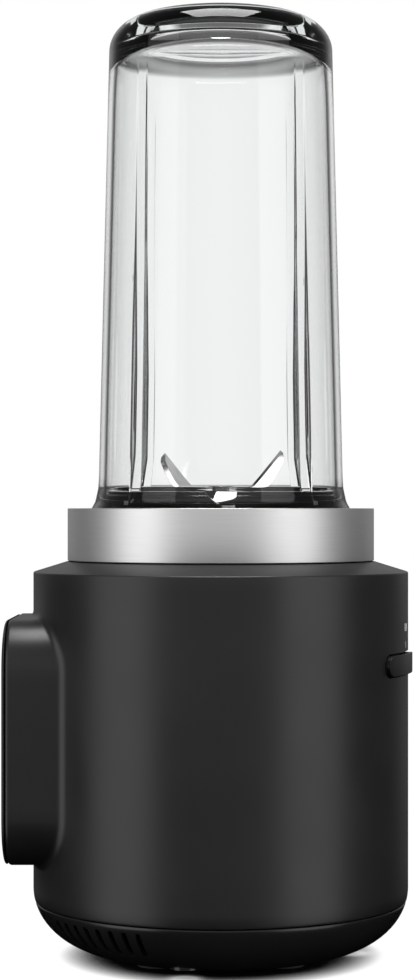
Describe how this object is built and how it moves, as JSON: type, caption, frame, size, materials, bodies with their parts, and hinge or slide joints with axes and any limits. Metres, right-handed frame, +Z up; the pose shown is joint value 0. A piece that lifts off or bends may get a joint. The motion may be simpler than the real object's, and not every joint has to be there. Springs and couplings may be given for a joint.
{
  "type": "countertop blender",
  "caption": "Cordless personal blender: inverted clear jar screwed to a blade holder, on a round motor base with a slide-out battery pod and a thumb slider.",
  "frame": {"origin": "on the motor and blade axis, at the height of the surface that the rubber feet stand on", "axes": "+Z up along the motor axis, +X towards the front, where the power slider is, and -X towards the battery pod"},
  "size_m": [0.1419, 0.132, 0.33],
  "materials": {
    "soft_black": "matte, fine grain",
    "dark_plastic": "smooth",
    "gloss_black": "glossy",
    "rubber": "soft",
    "satin_aluminium": "satin brushed",
    "steel": "bright",
    "clear": "clear",
    "bronze": "sintered",
    "magnet": "sintered",
    "lamination": "stacked sheets",
    "copper": "machined",
    "board_green": "solder mask",
    "lens_white": "moulded",
    "cell_wrap": "shrink sleeve",
    "wire_red": "sleeve",
    "wire_black": "sleeve",
    "nylon": "natural"
  },
  "bodies": {
    "base": {"housing": "soft_black", "indicator_lens_1": "lens_white", "indicator_lens_2": "lens_white", "indicator_lens_3": "lens_white", "bottom_cover": "dark_plastic", "foot_1": "rubber", "foot_2": "rubber", "foot_3": "rubber", "foot_4": "rubber", "cover_screw_1": "steel", "cover_screw_2": "steel", "cover_screw_3": "steel", "collar_band": "satin_aluminium", "top_deck": "dark_plastic", "drip_seal": "rubber", "interlock_switch": "gloss_black", "interlock_spring": "steel", "motor_can": "steel", "motor_end_cap": "dark_plastic", "motor_bearing": "bronze", "magnet_1": "magnet", "magnet_2": "magnet", "motor_mount": "steel", "mount_screw_1": "steel", "mount_screw_2": "steel", "mount_screw_3": "steel", "circuit_board": "board_green", "micro_switch": "gloss_black", "terminal_block": "nylon", "motor_wire_red": "wire_red", "motor_wire_black": "wire_black", "battery_wire_red": "wire_red", "battery_wire_black": "wire_black"},
    "lock": {"lock_ring": "nylon"},
    "blade_unit": {"blade_holder": "gloss_black", "shaft_bearing_lower": "bronze", "shaft_bearing_upper": "bronze", "shaft_seal": "rubber"},
    "cutter": {"blade_shaft": "steel", "blade_upper": "steel", "blade_lower": "steel", "driven_coupling": "dark_plastic"},
    "jar_seal": {"jar_gasket": "rubber"},
    "vessel": {"jar": "clear"},
    "rotor": {"motor_shaft": "steel", "armature": "lamination", "commutator": "copper", "cooling_fan": "nylon", "drive_coupling": "dark_plastic"},
    "power_switch": {"switch_knob": "soft_black", "switch_carrier": "dark_plastic"},
    "battery": {"battery_case": "dark_plastic", "battery_cover": "soft_black", "battery_cell_1": "cell_wrap", "battery_cell_2": "cell_wrap", "battery_cell_3": "cell_wrap"},
    "latch_button": {"release_button": "dark_plastic"},
    "interlock": {"interlock_pin": "nylon"}
  },
  "joints": [
    {"name": "lock_turn", "type": "hinge", "parent": "base", "child": "lock", "pos_m": [0, 0, 0.142], "axis": [0, 0, 1], "range_deg": [0, 25]},
    {"name": "unit_lift", "type": "slide", "parent": "lock", "child": "blade_unit", "axis": [0, 0, 1], "range_m": [0, 0.06]},
    {"name": "cutter_spin", "type": "hinge", "parent": "blade_unit", "child": "cutter", "pos_m": [0, 0, 0.155], "axis": [0, 0, 1], "continuous": true},
    {"name": "jar_rise", "type": "slide", "parent": "blade_unit", "child": "jar_seal", "axis": [0, 0, 1], "range_m": [0, 0.018]},
    {"name": "jar_turn", "type": "hinge", "parent": "jar_seal", "child": "vessel", "pos_m": [0, 0, 0.155], "axis": [0, 0, 1], "range_deg": [0, 360]},
    {"name": "motor_spin", "type": "hinge", "parent": "base", "child": "rotor", "pos_m": [0, 0, 0.09], "axis": [0, 0, 1], "continuous": true},
    {"name": "power_slide", "type": "hinge", "parent": "base", "child": "power_switch", "pos_m": [0, 0, 0.1011], "axis": [0, 0, 1], "range_deg": [0, 31]},
    {"name": "battery_slide", "type": "slide", "parent": "base", "child": "battery", "axis": [-1, 0, 0], "range_m": [0, 0.05]},
    {"name": "release_press", "type": "slide", "parent": "battery", "child": "latch_button", "axis": [1, 0, 0], "range_m": [0, 0.0012], "stiffness_N_per_m": 400},
    {"name": "interlock_press", "type": "slide", "parent": "base", "child": "interlock", "axis": [0, 0, -1], "range_m": [0, 0.0012], "stiffness_N_per_m": 300, "deforming": ["interlock_spring"]}
  ],
  "couplings": [
    {"joint": "jar_turn", "follows": "jar_rise", "rad_per_m": 349.07},
    {"joint": "cutter_spin", "follows": "motor_spin", "ratio": 1}
  ]
}
